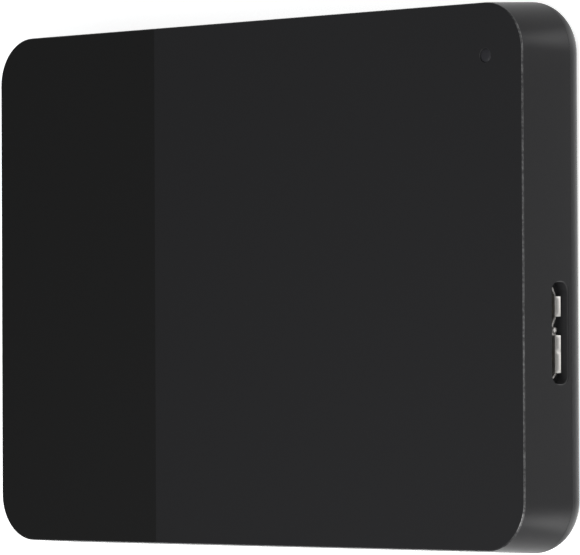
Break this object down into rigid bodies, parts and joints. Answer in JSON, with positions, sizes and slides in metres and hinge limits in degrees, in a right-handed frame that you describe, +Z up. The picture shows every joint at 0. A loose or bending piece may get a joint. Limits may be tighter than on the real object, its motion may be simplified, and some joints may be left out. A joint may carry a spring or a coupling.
{
  "type": "portable external hard drive",
  "caption": "Flat rounded black plastic case on rubber feet, with a USB socket in one end, holding a 2.5 inch disc drive with a turning disc and a swinging head arm.",
  "frame": {"origin": "centre of the case's footprint, on the plane of the rubber feet", "axes": "+X along the length towards the USB socket, +Y across the width towards the status light, +Z up out of the front cover"},
  "size_m": [0.109, 0.078, 0.014],
  "materials": {
    "case_plastic": "moulded ABS with a fine spark-eroded texture",
    "foot_rubber": "moulded rubber, matte",
    "light_pipe": "smoked acrylic, polished",
    "led_package": "cast epoxy",
    "bumper_rubber": "moulded elastomer, matte",
    "foam": "open-cell foam",
    "cast_aluminium": "die cast",
    "gasket_rubber": "dispensed elastomer",
    "lid_steel": "stamped stainless sheet",
    "core_steel": "coated laminations",
    "copper_wire": "enamelled copper winding",
    "hub_aluminium": "turned",
    "magnet_ferrite": "coated",
    "platter_mirror": "polished disc",
    "clamp_steel": "stamped",
    "slider_ceramic": "ground ceramic",
    "shaft_steel": "ground",
    "yoke_nickel": "nickel-plated",
    "ramp_plastic": "moulded",
    "filter_fabric": "felted",
    "ribbon_film": "polyimide film",
    "board_laminate": "solder mask over glass laminate",
    "chip_epoxy": "moulded epoxy",
    "capacitor_ceramic": "ceramic",
    "socket_plastic": "moulded liquid-crystal polymer",
    "film": "black polyester film",
    "socket_steel": "nickel-plated sheet",
    "contact_gold": "gold-plated"
  },
  "bodies": {
    "drive": {"front_shell": "case_plastic", "rear_cover": "case_plastic", "rubber_feet": "foot_rubber", "light_pipe": "light_pipe", "status_led": "led_package", "corner_bumper_lower_left": "bumper_rubber", "corner_bumper_lower_right": "bumper_rubber", "corner_bumper_upper_left": "bumper_rubber", "corner_bumper_upper_right": "bumper_rubber", "cushion_pads": "foam", "foam_pads": "foam", "drive_base": "cast_aluminium", "lid_gasket": "gasket_rubber", "drive_lid": "lid_steel", "stator_core": "core_steel", "stator_coils": "copper_wire", "pivot_post": "shaft_steel", "lower_yoke": "yoke_nickel", "upper_yoke": "yoke_nickel", "lower_magnet": "yoke_nickel", "upper_magnet": "yoke_nickel", "load_ramp": "ramp_plastic", "crash_stop": "bumper_rubber", "breather_filter": "filter_fabric", "ribbon_bracket": "ramp_plastic", "head_ribbon": "ribbon_film", "circuit_board": "board_laminate", "controller_chip": "chip_epoxy", "memory_chip": "chip_epoxy", "motor_driver_chip": "chip_epoxy", "crystal": "yoke_nickel", "board_capacitors": "capacitor_ceramic", "board_connector": "socket_plastic", "insulating_film": "film", "usb_shell": "socket_steel", "usb_insert": "socket_plastic", "usb_contacts": "contact_gold"},
    "spindle": {"spindle_hub": "hub_aluminium", "rotor_magnet": "magnet_ferrite", "platter": "platter_mirror", "disc_clamp": "clamp_steel"},
    "actuator": {"arm_block": "hub_aluminium", "voice_coil": "copper_wire", "upper_suspension": "clamp_steel", "lower_suspension": "clamp_steel", "head_sliders": "slider_ceramic"}
  },
  "joints": [
    {"name": "spindle_spin", "type": "hinge", "parent": "drive", "child": "spindle", "pos_m": [-0.0142, 0, 0.0089], "axis": [0, 0, 1], "continuous": true},
    {"name": "actuator_swing", "type": "hinge", "parent": "drive", "child": "actuator", "pos_m": [0.0228, -0.012, 0.0089], "axis": [0, 0, 1], "range_deg": [0, 35]}
  ]
}
